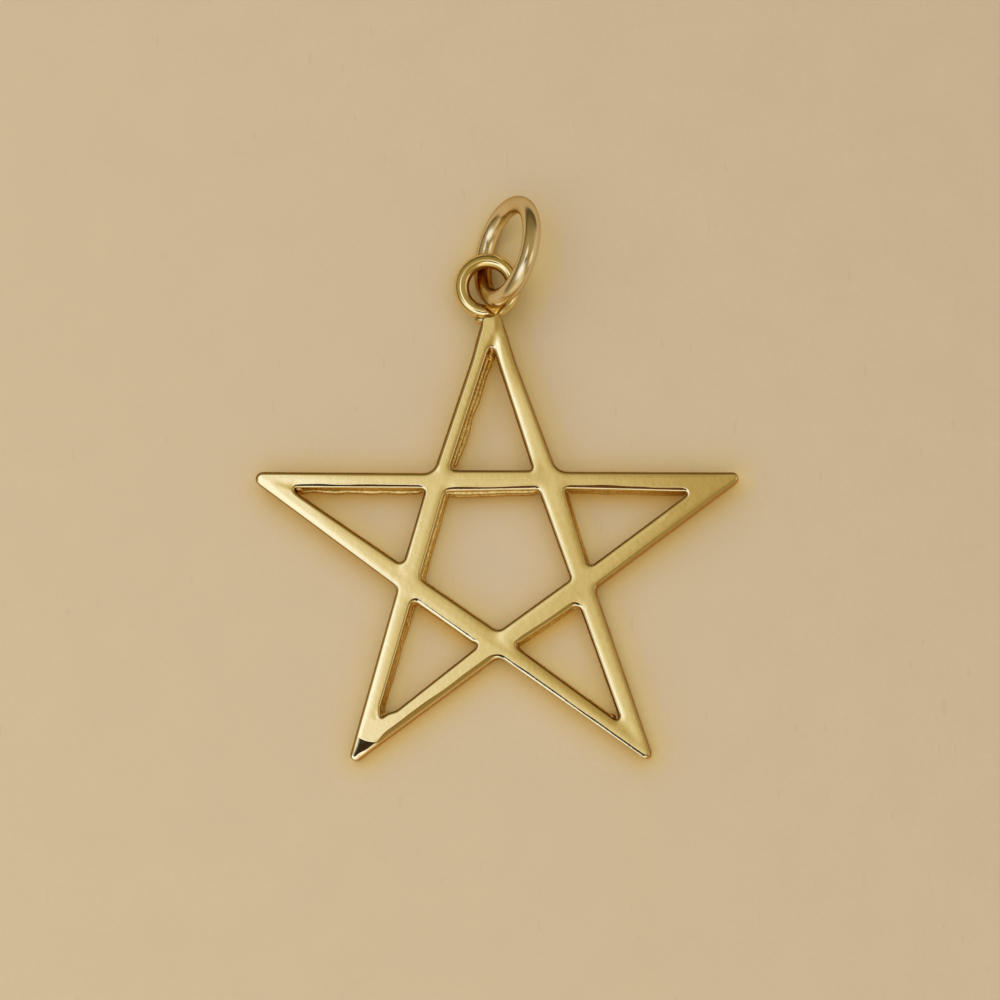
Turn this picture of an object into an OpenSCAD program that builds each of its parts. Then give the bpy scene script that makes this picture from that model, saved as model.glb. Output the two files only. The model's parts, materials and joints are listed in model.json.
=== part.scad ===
// Open star charm: five straight bars cross and meet in five blunt points, a wire loop is
// soldered to the top point, and a plain jump ring hangs in the loop.
// The charm lies on a table at z = 0. +Y runs from the two lower points to the jump ring, and
// the ring's wire under the loop holds the top of the star a little off the table.

/* [Star] */
// Thickness of the star's bars, front to back
star_thick = 1.25; // [1:0.05:1.5]
// Mean distance from the star's middle to the five places where two bars' middle lines meet
star_reach = 12.79; // [12.2:0.01:13.4]

/* [Hang loop] */
// Thickness of the loop's wire
loop_wire = 0.8; // [0.6:0.05:0.9]
// Clear hole of the loop
loop_hole = 2; // [1.95:0.05:2.2]
// How far the loop's middle lies left of the star's own middle line
loop_left = 0.31; // [0:0.01:0.5]
// How far the loop's middle lies beyond the blunt end of the star's top point
loop_beyond = 1.24; // [1.15:0.01:1.3]
// Depth of the V between the wire's two ends, from the front of the wire
vee_depth = 0.42; // [0.2:0.01:0.5]

/* [Jump ring] */
// Outer diameter of the jump ring
ring_outer = 6.1; // [6:0.05:6.2]
// Thickness of the jump ring's wire
ring_wire = 0.95; // [0.8:0.05:0.95]
// Angle left open at the join where the wire's two ends meet
ring_join = 0.8; // [0.4:0.1:3]
// Place of the join round the ring, from its raised side towards +Y
join_at = 190; // [0:5:355]

/* [How it lies] */
// Angle at which the ring's wire holds up the star
star_tilt = 1.85; // [1.85:0.05:2.2]
// Angle between the ring's flat side and the table
ring_lean = 56.4; // [55:0.1:58]
// Turn of the ring's line on the table, from +Y towards +X
ring_heading = 11.6; // [11:0.1:12]
// How far the ring's middle lies right of the loop's middle
ring_right = 1.16; // [1.13:0.01:1.2]
// How far the ring's middle lies beyond the loop's middle
ring_beyond = 1.68; // [1.64:0.01:1.72]

/* [Hidden] */
$fn = 96;

// One row for each point, clockwise from the top, and for the crossing that follows it.
// Columns: the point's turn from its even place and its reach from the middle, then the
// crossing's turn and reach, measured along the middle lines of the bars.
JOINTS = [
    [-0.3, 12.68, -0.1, 4.92],
    [1.0, 12.67, 1.7, 5.01],
    [-0.6, 12.84, -1.6, 4.80],
    [-0.9, 12.59, 0.8, 4.84],
    [0.8, 13.17, -0.5, 5.02]
];
// Widths of the bars by hand filing, one row for each point, clockwise from the top.
// Columns: the arm clockwise of the point at its point and at its crossing, the arm
// anticlockwise at its point and at its crossing, and the short stretch behind the point
// at its anticlockwise and at its clockwise crossing.
WIDTHS = [
    [0.81, 1.19, 0.69, 0.76, 1.05, 0.94],
    [1.01, 1.05, 1.00, 0.81, 1.32, 1.02],
    [0.79, 0.97, 0.98, 1.10, 1.21, 1.01],
    [0.83, 0.94, 0.79, 1.09, 1.13, 1.06],
    [0.76, 0.74, 0.79, 1.15, 1.06, 1.03]
];
// Radii of the corners, one row for each point, clockwise from the top.
// Columns: the blunt end of the point, the outer notch at the crossing, the opening's corner
// at the point, at the clockwise crossing and at the anticlockwise crossing, and the pentagon's.
ROUNDS = [
    [0.26, 0.85, 0.12, 0.15, 0.25, 0.17],
    [0.28, 0.35, 0.18, 0.30, 0.18, 0.15],
    [0.30, 0.50, 0.14, 0.18, 0.30, 0.50],
    [0.26, 0.38, 0.26, 0.25, 0.25, 0.30],
    [0.39, 0.70, 0.18, 0.28, 0.30, 0.28]
];
COUNT = len(JOINTS);
STEP = 360 / COUNT;
// What the table's reaches are multiplied by to give star_reach
reach_scale = star_reach * COUNT / (JOINTS * [0, 1, 0, 0] * [1, 1, 1, 1, 1]);
// Largest angle between two points on a rounded corner
ARC_STEP = 12;

// Even place of a point and of the crossing after it, as an angle from +X
function point_angle(i) = 90 - STEP * i;
function crossing_angle(i) = point_angle(i) - STEP / 2;
function polar(reach, angle) = reach_scale * reach * [cos(angle), sin(angle)];
function before(i) = (i + COUNT - 1) % COUNT;
function after(i) = (i + 1) % COUNT;
function point_at(i) = polar(JOINTS[i][1], point_angle(i) - JOINTS[i][0]);
function crossing_at(i) = polar(JOINTS[i][3], crossing_angle(i) - JOINTS[i][2]);

// The edge of a bar that runs from a to b: its left side for side = 1, its right side for -1
function left_of(a, b) = [a.y - b.y, b.x - a.x] / norm(b - a);
function edge(a, b, width_a, width_b, side) =
    [a + left_of(a, b) * side * width_a / 2, b + left_of(a, b) * side * width_b / 2];
function cross2(p, q) = p.x * q.y - p.y * q.x;
// Where two edges meet
function meet(e, f) =
    let(d = e[1] - e[0], g = f[1] - f[0])
    e[0] + d * cross2(f[0] - e[0], g) / cross2(d, g);

// Edges of the arm clockwise of a point, of the one anticlockwise, and of the stretch behind it
function clockwise_edge(i, side) =
    edge(point_at(i), crossing_at(i), WIDTHS[i][0], WIDTHS[i][1], side);
function anticlockwise_edge(i, side) =
    edge(point_at(i), crossing_at(before(i)), WIDTHS[i][2], WIDTHS[i][3], side);
function behind_edge(i, side) =
    edge(crossing_at(before(i)), crossing_at(i), WIDTHS[i][4], WIDTHS[i][5], side);

// The corner b of the path a, b, c rounded to radius r: points on the arc
function rounded(a, b, c, r) =
    let(
        u = (a - b) / norm(a - b),
        v = (c - b) / norm(c - b),
        half = acos(u * v) / 2,
        middle = b + (u + v) / norm(u + v) * r / sin(half),
        from = b + u * r / tan(half) - middle,
        sweep = 180 - 2 * half,
        way = cross2(from, b - middle) > 0 ? 1 : -1,
        steps = ceil(sweep / ARC_STEP)
    )
    [for (k = [0:steps]) let(turn = way * sweep * k / steps)
        middle + [from.x * cos(turn) - from.y * sin(turn), from.x * sin(turn) + from.y * cos(turn)]];
// A closed path with every corner rounded to its own radius
function rounded_path(corners, radii) =
    let(last = len(corners))
    [for (k = [0:last - 1], p = rounded(
        corners[(k + last - 1) % last], corners[k], corners[(k + 1) % last], radii[k])) p];

// Outer outline: point, notch, point, notch and so on, clockwise from the top
outline_corners = [for (i = [0:COUNT - 1], notch = [0, 1])
    notch == 1 ? meet(clockwise_edge(i, 1), anticlockwise_edge(after(i), -1))
        : meet(anticlockwise_edge(i, -1), clockwise_edge(i, 1))];
outline_radii = [for (i = [0:COUNT - 1], notch = [0, 1]) ROUNDS[i][notch]];
outline = rounded_path(outline_corners, outline_radii);
// The opening in a point: its corner at the point and at the two crossings
function opening(i) = rounded_path(
    [meet(anticlockwise_edge(i, 1), clockwise_edge(i, -1)),
        meet(clockwise_edge(i, -1), behind_edge(i, 1)),
        meet(behind_edge(i, 1), anticlockwise_edge(i, 1))],
    [ROUNDS[i][2], ROUNDS[i][3], ROUNDS[i][4]]);
pentagon = rounded_path(
    [for (i = [0:COUNT - 1]) meet(behind_edge(i, -1), behind_edge(after(i), -1))],
    [for (i = [0:COUNT - 1]) ROUNDS[i][5]]);

// The loop, in the star's own frame
loop_up = max([for (p = outline) p.y]) + loop_beyond;
loop_middle = [-loop_left, loop_up];
loop_reach = (loop_hole + loop_wire) / 2;
loop_level = star_thick / 2;
// How far the star's point is let into the wire, towards the hole
solder_lap = 0.2;
// The V between the wire's ends, seen from the front with the loop's middle at the origin
VEE = [[0, 0], [-0.5, -0.94], [0.46, -1.74], [1.1, -0.94]];

// The star turns about the line of its two lower points, so that their edge stays on the table
foot = min([for (p = outline) p.y]);
left_end = min([for (p = outline) p.x]);
right_end = max([for (p = outline) p.x]);
loop_run = (loop_up - foot) * cos(star_tilt) - loop_level * sin(star_tilt);

// The ring stands on its lowest stretch of wire and leans to the right
ring_reach = (ring_outer - ring_wire) / 2;
ring_height = ring_reach * sin(ring_lean) + ring_wire / 2;
ring_run = loop_run + ring_beyond;
// How far the ring's circle and its wire reach beyond its middle along +Y
ring_normal_y = sin(ring_lean) * sin(ring_heading);
ring_end = ring_run + ring_reach * sqrt(1 - ring_normal_y * ring_normal_y) + ring_wire / 2;
// Middle of the whole charm on the table
middle_x = (left_end + right_end) / 2;
middle_y = (ring_end - star_thick * sin(star_tilt)) / 2;

// Moves what is drawn in the star's own frame to where the star lies
module as_it_lies() {
    translate([-middle_x, -middle_y, 0])
        rotate([star_tilt, 0, 0])
            translate([0, -foot, 0])
                children();
}

// The flat star with its six openings
module star_plate() {
    linear_extrude(height = star_thick)
        difference() {
            polygon(outline);
            for (i = [0:COUNT - 1]) polygon(opening(i));
            polygon(pentagon);
            translate(loop_middle) circle(r = loop_reach + loop_wire / 2 - solder_lap);
        }
}

// Round wire bent to a loop
module hang_loop() {
    translate([loop_middle.x, loop_middle.y, loop_level])
        rotate_extrude() translate([loop_reach, 0]) circle(d = loop_wire);
}

// The V that the solder leaves open between the wire's ends and the star's point
module vee() {
    translate([loop_middle.x, loop_middle.y, loop_level + loop_wire / 2 - vee_depth])
        linear_extrude(height = star_thick)
            polygon(VEE);
}

module star() {
    color([0.80, 0.66, 0.36])
        as_it_lies()
            difference() {
                union() {
                    star_plate();
                    hang_loop();
                }
                vee();
            }
}

// A ring of round wire whose two ends are closed against each other
module jump_ring() {
    color([0.80, 0.72, 0.60])
        translate([ring_right - loop_left - middle_x, ring_run - middle_y, ring_height])
            rotate([0, 0, -ring_heading])
                rotate([0, -ring_lean, 0])
                    rotate([0, 0, join_at + ring_join / 2])
                        rotate_extrude(angle = 360 - ring_join)
                            translate([ring_reach, 0]) circle(d = ring_wire);
}

star();
jump_ring();
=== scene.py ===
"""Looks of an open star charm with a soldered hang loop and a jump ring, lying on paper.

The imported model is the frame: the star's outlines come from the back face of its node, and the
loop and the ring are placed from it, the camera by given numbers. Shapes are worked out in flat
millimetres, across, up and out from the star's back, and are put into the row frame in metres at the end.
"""
import json
import logging
import math
from dataclasses import astuple, dataclass, field
from enum import Enum
from typing import Any, Callable, Iterable, Mapping, Sequence

import bpy
import numpy as np
from mathutils import Matrix, Vector
from mathutils.geometry import delaunay_2d_cdt


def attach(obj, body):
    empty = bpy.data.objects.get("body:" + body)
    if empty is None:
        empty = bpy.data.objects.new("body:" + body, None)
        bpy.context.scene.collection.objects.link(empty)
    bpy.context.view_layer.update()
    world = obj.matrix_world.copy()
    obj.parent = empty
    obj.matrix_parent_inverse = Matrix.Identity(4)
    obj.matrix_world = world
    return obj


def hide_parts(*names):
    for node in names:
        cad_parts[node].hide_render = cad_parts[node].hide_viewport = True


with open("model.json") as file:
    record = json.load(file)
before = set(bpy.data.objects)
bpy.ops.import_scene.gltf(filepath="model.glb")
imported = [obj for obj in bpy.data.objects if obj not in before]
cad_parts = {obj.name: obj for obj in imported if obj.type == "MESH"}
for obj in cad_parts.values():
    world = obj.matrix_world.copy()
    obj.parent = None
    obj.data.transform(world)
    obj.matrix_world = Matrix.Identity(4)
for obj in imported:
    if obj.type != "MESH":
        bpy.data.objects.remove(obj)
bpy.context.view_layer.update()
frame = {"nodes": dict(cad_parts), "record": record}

Array = np.ndarray
Pair = tuple[float, float]
Triple = tuple[float, float, float]
LOG = logging.getLogger("star_charm")
MM = 0.001
MICRON = 1e-6
TURN = 2.0 * math.pi
FIFTH = TURN / 5.0
ONE_BODY = "root"
# Places round each wire that the paper's glow is worked out from
WIRE_PLACES = 80


class Slot(Enum):
    """The record's material slots."""

    STAR = "yellow_gold"
    RING = "pale_gold"


class Mark(Enum):
    """What a mesh carries from vertex to vertex for its material."""

    CAST = "cast"
    # Painted shade: how much darker the gold is painted where it would mirror dark or lie in shade
    PAINTED_SHADE = "edge"
    # Painted light: the warm light that the gold bounces onto the paper
    GLOW = "glow"


@dataclass(frozen=True)
class Lie:
    """How the flat star lies: its own directions, and where its back is.

    Flat coordinates are across (+X), up (from the two lower points to the loop) and out
    (from the back face), all in millimetres.
    """

    up: Array
    out: Array
    back: float

    @classmethod
    def of_back_face(cls, mount: Mapping[str, Any]) -> "Lie":
        """Read from the record's mount on the back face, whose axis points down.

        Args:
            mount: The record's mount.

        Returns:
            How the star lies.
        """
        out = -np.array(mount["axis"])
        up = np.array([0.0, out[2], -out[1]])
        return cls(up, out, float(out @ np.array(mount["pos_m"])) / MM)

    def flat(self, places: Array) -> Array:
        """Places in the row frame, in metres, as flat millimetres."""
        mm = places / MM
        return np.stack([mm[..., 0], mm @ self.up, mm @ self.out - self.back], axis=-1)

    def placed(self, flat: Array) -> Array:
        """Flat millimetres as places in the row frame, in metres."""
        across = flat[..., :1] * np.array([1.0, 0.0, 0.0])
        return (across + flat[..., 1:2] * self.up + (flat[..., 2:] + self.back) * self.out) * MM


def rise(value: Array, start: float, end: float) -> Array:
    """A smooth step: 0 up to start and 1 from end, with level ends."""
    share = np.clip((value - start) / (end - start), 0.0, 1.0)
    return share * share * (3.0 - 2.0 * share)


def around_blur(values: Array, spacing: float, blur: float) -> Array:
    """Values on a closed line, blurred along it.

    Each frequency f is multiplied by exp(-(2 pi f blur)^2 / 2), which is a Gaussian blur.

    Args:
        values: One row for each place on the line.
        spacing: Distance between two places, in millimetres.
        blur: Width of the Gaussian, in millimetres.

    Returns:
        The blurred rows.
    """
    turns = np.fft.rfftfreq(len(values), spacing)
    keep = np.exp(-0.5 * (TURN * turns * blur) ** 2)
    keep = keep.reshape((-1,) + (1,) * (values.ndim - 1))
    return np.fft.irfft(np.fft.rfft(values, axis=0) * keep, len(values), axis=0)


def resampled(line: Array, spacing: float) -> Array:
    """A closed line of places with new ones at even distances of about spacing.

    Args:
        line: Closed line of flat places.
        spacing: Distance between the new places.

    Returns:
        The new places.
    """
    closed = np.vstack([line, line[:1]])
    run = np.concatenate([[0.0], np.cumsum(np.linalg.norm(np.diff(closed, axis=0), axis=1))])
    count = int(round(run[-1] / spacing))
    at = np.arange(count) * run[-1] / count
    return np.stack([np.interp(at, run, closed[:, axis]) for axis in range(2)], axis=1)


def full_turn(count: int) -> Array:
    """Even angles all round, from 0."""
    return np.linspace(0.0, TURN, count, endpoint=False)


def empty() -> Array:
    """No values yet."""
    return np.zeros(0)


def vertices_of(node: bpy.types.Object) -> Array:
    """A mesh's vertices in the row frame, in metres.

    Args:
        node: The mesh object.

    Returns:
        One place for each vertex.
    """
    places = np.empty(len(node.data.vertices) * 3, np.float32)
    node.data.vertices.foreach_get("co", places)
    return places.reshape(-1, 3)


def linked(name: str, data: bpy.types.ID) -> bpy.types.Object:
    """A new object in the scene that holds a mesh, a light or a camera.

    Args:
        name: The object's name.
        data: What it holds.

    Returns:
        The object.
    """
    made = bpy.data.objects.new(name, data)
    bpy.context.scene.collection.objects.link(made)
    return made


def in_batches(work: Callable[[Array], Array], places: Array) -> Array:
    """What the work makes of places, a batch at a time to save memory."""
    batch = 512
    return np.concatenate([work(part) for part in np.array_split(places, max(1, len(places) // batch))])


def far_squared(places: Array, others: Array) -> Array:
    """Squared distance from each place, in rows, to each of the others."""
    return ((places[:, None] - others[None]) ** 2).sum(axis=2)


def nearest(places: Array, others: Array) -> Array:
    """Distance from each place to the nearest of the others."""
    return in_batches(lambda part: np.sqrt(far_squared(part, others).min(axis=1)), places)


def close_to(places: Array, middle: Sequence[float], full: float, none: float) -> Array:
    """1 up to one distance from a middle, and 0 from another distance on."""
    return 1.0 - rise(np.linalg.norm(places - np.array(middle), axis=-1), full, none)


def edges_of(lines: Sequence[Array]) -> tuple[Array, Array]:
    """Starts and ends of all edges of closed lines."""
    return np.vstack(lines), np.vstack([np.roll(line, -1, axis=0) for line in lines])


def from_edge(places: Array, lines: Sequence[Array]) -> Array:
    """Distance from each place to the nearest edge of the closed lines.

    The nearest point of an edge from A to A + D is A + t D, with t = (P - A) . D / D . D kept
    between 0 and 1.

    Args:
        places: Flat places.
        lines: Closed lines.

    Returns:
        The distances.
    """
    start, end = edges_of(lines)
    way = end - start
    long = (way ** 2).sum(axis=1)

    def gap(part: Array) -> Array:
        """The distances of a batch.

        Args:
            part: Flat places of the batch.

        Returns:
            One distance for each place.
        """
        across, up = part[:, :1] - start[:, 0], part[:, 1:] - start[:, 1]
        share = np.clip((across * way[:, 0] + up * way[:, 1]) / long, 0.0, 1.0)
        squared = (across - share * way[:, 0]) ** 2 + (up - share * way[:, 1]) ** 2
        return np.sqrt(squared.min(axis=1))

    return in_batches(gap, places)


def left_facing(places: Array, edge: Array) -> Array:
    """How far the edge near each place faces left: 1 for left and -1 for right.

    It is the mean of the edge's inward directions' across parts, with the weights
    exp((least distance squared - distance squared) / (2 wide squared)).

    Args:
        places: Flat places.
        edge: Places of the edge, each with the across part of its inward direction.

    Returns:
        One value for each place.
    """
    wide = 0.15

    def mean(part: Array) -> Array:
        """The means of a batch.

        Args:
            part: Flat places of the batch.

        Returns:
            One mean for each place.
        """
        far = far_squared(part, edge[:, :2])
        weight = np.exp((far.min(axis=1, keepdims=True) - far) / (2.0 * wide ** 2))
        return weight @ edge[:, 2] / weight.sum(axis=1)

    return in_batches(mean, places)


def triangle_grid(low: Array, high: Array, spacing: float) -> Array:
    """Flat places between two corners, in rows that make even triangles.

    Args:
        low: The lower left corner.
        high: The upper right corner.
        spacing: Distance between neighbours.

    Returns:
        The places, one in a row.
    """
    rows = np.arange(low[1], high[1], spacing * math.sqrt(0.75))
    columns = np.arange(low[0], high[0], spacing)
    across = columns[None] + (np.arange(rows.size) % 2)[:, None] * spacing / 2.0
    up = np.broadcast_to(rows[:, None], across.shape)
    return np.stack([across, up], axis=-1).reshape(-1, 2)


def inside(places: Array, lines: Sequence[Array]) -> Array:
    """Whether each place has an odd number of the closed lines' edges to its right.

    Args:
        places: Flat places.
        lines: Closed lines.

    Returns:
        True where a place has.
    """
    start, end = edges_of(lines)
    climb = end[:, 1] - start[:, 1]
    slope = (end[:, 0] - start[:, 0]) / np.where(climb == 0.0, 1.0, climb)

    def odd(part: Array) -> Array:
        """Whether each place of a batch has.

        Args:
            part: Flat places of the batch.

        Returns:
            True where a place has.
        """
        height = part[:, 1:2]
        spans = (start[:, 1] > height) != (end[:, 1] > height)
        crossing = start[:, 0] + (height - start[:, 1]) * slope
        return (spans & (crossing > part[:, :1])).sum(axis=1) % 2 == 1

    return in_batches(odd, places)


def back_outlines(node: bpy.types.Object, lie: Lie) -> list[Array]:
    """Closed outlines of the star's back face.

    A triangle is on the back where its three corners have no height. Its edges that have no
    twin in the other direction are the outline, and following them gives the closed lines.

    Args:
        node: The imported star.
        lie: How the star lies.

    Returns:
        Flat places of each line, with the metal on the line's right, the longest line first.
    """
    tolerance = 0.003
    mesh = node.data
    mesh.calc_loop_triangles()
    corners = np.empty(len(mesh.loop_triangles) * 3, np.int32)
    mesh.loop_triangles.foreach_get("vertices", corners)
    flat = lie.flat(vertices_of(node).astype(float))
    cells = np.round(flat / tolerance).astype(int)
    _, first, same = np.unique(cells, axis=0, return_index=True, return_inverse=True)
    triangles = same.reshape(-1)[corners].reshape(-1, 3)
    flat = flat[first]
    triangles = triangles[(np.abs(flat[triangles, 2]) < tolerance).all(axis=1)]
    edges = {(a, b) for t in triangles.tolist() for a, b in zip(t, t[1:] + t[:1])}
    follow = {a: b for a, b in edges if (b, a) not in edges}
    lines = []
    while follow:
        start, at = follow.popitem()
        line = [start]
        while at != start:
            line.append(at)
            at = follow.pop(at)
        lines.append(flat[line, :2])
    return sorted(lines, key=len, reverse=True)


class Surface:
    """Vertices and faces gathered from grids and fills, put into one mesh at the end."""

    def __init__(self) -> None:
        """Start with nothing."""
        self.places: list[Array] = []
        self.faces: list[Array] = []
        self.marks: dict[Mark, list[Array]] = {mark: [] for mark in (Mark.CAST, Mark.PAINTED_SHADE)}
        self.count = 0

    def add_places(self, places: Array, cast: Any = 0.0, edge: Any = 0.0) -> Array:
        """Add vertices with their marks.

        Args:
            places: Where they are, in any grid form.
            cast: How rough and unpolished they are, from 0 to 1.
            edge: How much painted shade darkens their gold, from 0 to 1.

        Returns:
            Their numbers, in the same grid form.
        """
        numbers = self.count + np.arange(places[..., 0].size).reshape(places.shape[:-1])
        self.places.append(places.reshape(-1, 3))
        for mark, values in ((Mark.CAST, cast), (Mark.PAINTED_SHADE, edge)):
            self.marks[mark].append(np.broadcast_to(values, places.shape[:-1]).reshape(-1))
        self.count += numbers.size
        return numbers

    def add_grid(self, numbers: Array, across: bool = True, down: bool = False) -> None:
        """Join a grid of vertex numbers with squares.

        Args:
            numbers: Vertex numbers, in rows.
            across: Whether each row is closed.
            down: Whether the last row is joined to the first.
        """
        grid = np.hstack([numbers, numbers[:, :1]]) if across else numbers
        grid = np.vstack([grid, grid[:1]]) if down else grid
        quads = np.stack([grid[:-1, :-1], grid[1:, :-1], grid[1:, 1:], grid[:-1, 1:]], axis=-1)
        self.faces.append(quads.reshape(-1, 4))

    def add_fan(self, ring: Array, middle: Array) -> None:
        """Close a ring of vertex numbers with triangles to a new middle vertex.

        Args:
            ring: Vertex numbers round the hole, in order.
            middle: Place of the new vertex.
        """
        tip = self.add_places(middle.reshape(1, 3))[0]
        fan = np.stack([ring, np.roll(ring, -1), np.full(ring.size, tip)], axis=1)
        self.faces.append(fan)

    def made(self, name: str, material: bpy.types.Material) -> bpy.types.Object:
        """Put everything into a mesh in the row frame.

        Args:
            name: The piece's name.
            material: The piece's finish.

        Returns:
            The piece, linked to the scene and shaded smoothly.
        """
        mesh = bpy.data.meshes.new(name)
        places = np.vstack(self.places)
        mesh.vertices.add(len(places))
        mesh.vertices.foreach_set("co", places.astype(np.float32).ravel())
        sizes = np.concatenate([np.full(len(part), part.shape[1]) for part in self.faces])
        corners = np.concatenate([part.ravel() for part in self.faces])
        mesh.loops.add(len(corners))
        mesh.loops.foreach_set("vertex_index", corners.astype(np.int32))
        mesh.polygons.add(len(sizes))
        starts = np.concatenate([[0], np.cumsum(sizes)[:-1]])
        mesh.polygons.foreach_set("loop_start", starts.astype(np.int32))
        mesh.update(calc_edges=True)
        mesh.polygons.foreach_set("use_smooth", np.ones(len(sizes), bool))
        for mark, parts in self.marks.items():
            values = mesh.attributes.new(mark.value, "FLOAT", "POINT")
            values.data.foreach_set("value", np.concatenate(parts).astype(np.float32))
        mesh.validate()
        mesh.materials.append(material)
        LOG.info("%s: %d vertices, %d faces", name, len(mesh.vertices), len(mesh.polygons))
        return linked(name, mesh)


class Signal:
    """An output socket of a node tree, joined with others by Python's operators."""

    def __init__(self, tree: "Tree", socket: bpy.types.NodeSocket) -> None:
        """Wrap a socket of a tree."""
        self.tree = tree
        self.socket = socket

    def joined(self, operation: str, *others: Any) -> "Signal":
        """This value and others through a Math node."""
        return self.tree.node("ShaderNodeMath", {"operation": operation}, (self, *others))

    def __add__(self, other: Any) -> "Signal":
        """Sum."""
        return self.joined("ADD", other)

    def __sub__(self, other: Any) -> "Signal":
        """Difference."""
        return self.joined("SUBTRACT", other)

    def __rsub__(self, other: Any) -> "Signal":
        """Difference from something else."""
        return self.tree.node("ShaderNodeMath", {"operation": "SUBTRACT"}, (other, self))

    def __mul__(self, other: Any) -> "Signal":
        """Product."""
        return self.joined("MULTIPLY", other)

    def __truediv__(self, other: Any) -> "Signal":
        """Quotient."""
        return self.joined("DIVIDE", other)

    # Sums and products are the same from the right
    __radd__ = __add__
    __rmul__ = __mul__

    def step(self, start: float, end: float) -> "Signal":
        """A smooth step: 0 at start and 1 at end, also where end is below start."""
        settings = {"interpolation_type": "SMOOTHSTEP"}
        return self.tree.node("ShaderNodeMapRange", settings, {0: self, 1: start, 2: end})

    def between(self, low: Pair, high: Pair) -> "Signal":
        """1 between two values, and 0 outside them, each with a soft step."""
        return self.step(*low) * self.step(*high)


class Tree:
    """A node tree to be filled."""

    def __init__(self, owner: Any) -> None:
        """Empty the tree of a material or a world.

        Args:
            owner: The material or the world.
        """
        owner.use_nodes = True
        self.nodes = owner.node_tree.nodes
        self.links = owner.node_tree.links
        self.nodes.clear()

    def node(self, kind: str, settings: Mapping[str, Any] | None = None,
             inputs: Mapping[Any, Any] | Sequence[Any] = (), output: Any = 0) -> Signal:
        """Add a node, set it up and wire it.

        Args:
            kind: The node's type.
            settings: Its properties, and a ramp's stops as pairs of place and colour.
            inputs: Values or signals by socket name or number, or in the sockets' order.
            output: Name or number of the output to return.

        Returns:
            That output.
        """
        made = self.nodes.new(kind)
        for name, value in (settings or {}).items():
            if name == "stops":
                self.set_stops(made.color_ramp, value)
            else:
                setattr(made, name, value)
        pairs = inputs.items() if isinstance(inputs, Mapping) else enumerate(inputs)
        for name, value in pairs:
            if isinstance(value, Signal):
                self.links.new(value.socket, made.inputs[name])
            else:
                made.inputs[name].default_value = value
        return Signal(self, made.outputs[output] if made.outputs else None)

    @staticmethod
    def set_stops(ramp: bpy.types.ColorRamp, stops: Sequence[tuple[float, Sequence[float]]]) -> None:
        """Give a ramp its stops, in order.

        Args:
            ramp: The ramp.
            stops: Pairs of place and colour.
        """
        ramp.interpolation = "EASE"
        for place, _ in stops[2:]:
            ramp.elements.new(place)
        for element, (place, colour) in zip(ramp.elements, stops):
            element.position = place
            element.color = (*colour, 1.0)

    def mixed(self, factor: Any, first: Any, second: Any, blend: str = "MIX") -> Signal:
        """Two colours mixed: the first where factor is 0."""
        settings = {"data_type": "RGBA", "blend_type": blend}
        return self.node("ShaderNodeMix", settings, {0: factor, 6: first, 7: second}, output=2)

    def noise(self, where: Signal, scale: float, detail: float = 2.0) -> Signal:
        """Smooth noise between 0 and 1, with scale features in a unit of length."""
        inputs = {"Vector": where, "Scale": scale, "Detail": detail}
        return self.node("ShaderNodeTexNoise", {}, inputs, output="Fac")

    def mark(self, mark: Mark, output: str = "Fac") -> Signal:
        """What the mesh carries under a mark."""
        return self.node("ShaderNodeAttribute", {"attribute_name": mark.value}, output=output)

    def parts(self, vector: Signal) -> list[Signal]:
        """A vector's three parts."""
        split = self.node("ShaderNodeSeparateXYZ", {}, (vector,)).socket.node
        return [Signal(self, socket) for socket in split.outputs]

    def finish(self, inputs: Mapping[str, Any], bump: Signal, bump_height: float) -> None:
        """End a material with its shader.

        Args:
            inputs: The shader's values or signals by socket name.
            bump: Height of its bumps.
            bump_height: What the height is multiplied by, in metres.
        """
        normal = self.node("ShaderNodeBump", {}, {"Distance": bump_height, "Height": bump})
        shader = self.node("ShaderNodeBsdfPrincipled", {}, {**inputs, "Normal": normal})
        self.node("ShaderNodeOutputMaterial", {}, {"Surface": shader})


def rgba(colour: Iterable[float]) -> tuple[float, ...]:
    """A colour with full cover."""
    return (*colour, 1.0)


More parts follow.
